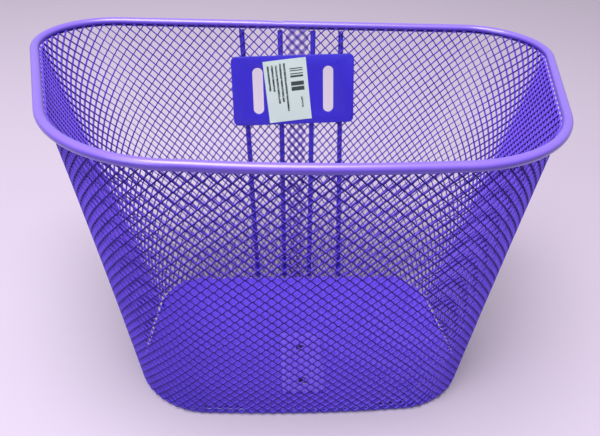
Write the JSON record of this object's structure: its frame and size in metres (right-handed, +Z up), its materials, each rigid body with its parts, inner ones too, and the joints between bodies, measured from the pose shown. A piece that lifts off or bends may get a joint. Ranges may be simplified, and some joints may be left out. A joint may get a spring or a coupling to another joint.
{
  "type": "handlebar basket",
  "caption": "Tapered expanded-steel bicycle basket with a rolled rim, a slotted hanger plate at the rear and a drilled stay plate in its base.",
  "frame": {"origin": "middle of the footprint of the object's bounding box, on the ground under the base", "axes": "+Z up, +Y towards the bicycle (the slotted rear wall), +X along the handlebar"},
  "size_m": [0.3602, 0.2262, 0.2157],
  "materials": {
    "purple_enamel": "gloss",
    "sticker_paper": "matte"
  },
  "bodies": {
    "root": {"rim_channel": "purple_enamel", "wall_mesh": "purple_enamel", "base_mesh": "purple_enamel", "bottom_ring_wire": "purple_enamel", "rear_rod_inner_left": "purple_enamel", "rear_rod_inner_right": "purple_enamel", "rear_rod_outer_left": "purple_enamel", "rear_rod_outer_right": "purple_enamel", "hanger_plate": "purple_enamel", "stay_plate": "purple_enamel", "price_sticker": "sticker_paper"}
  },
  "joints": []
}
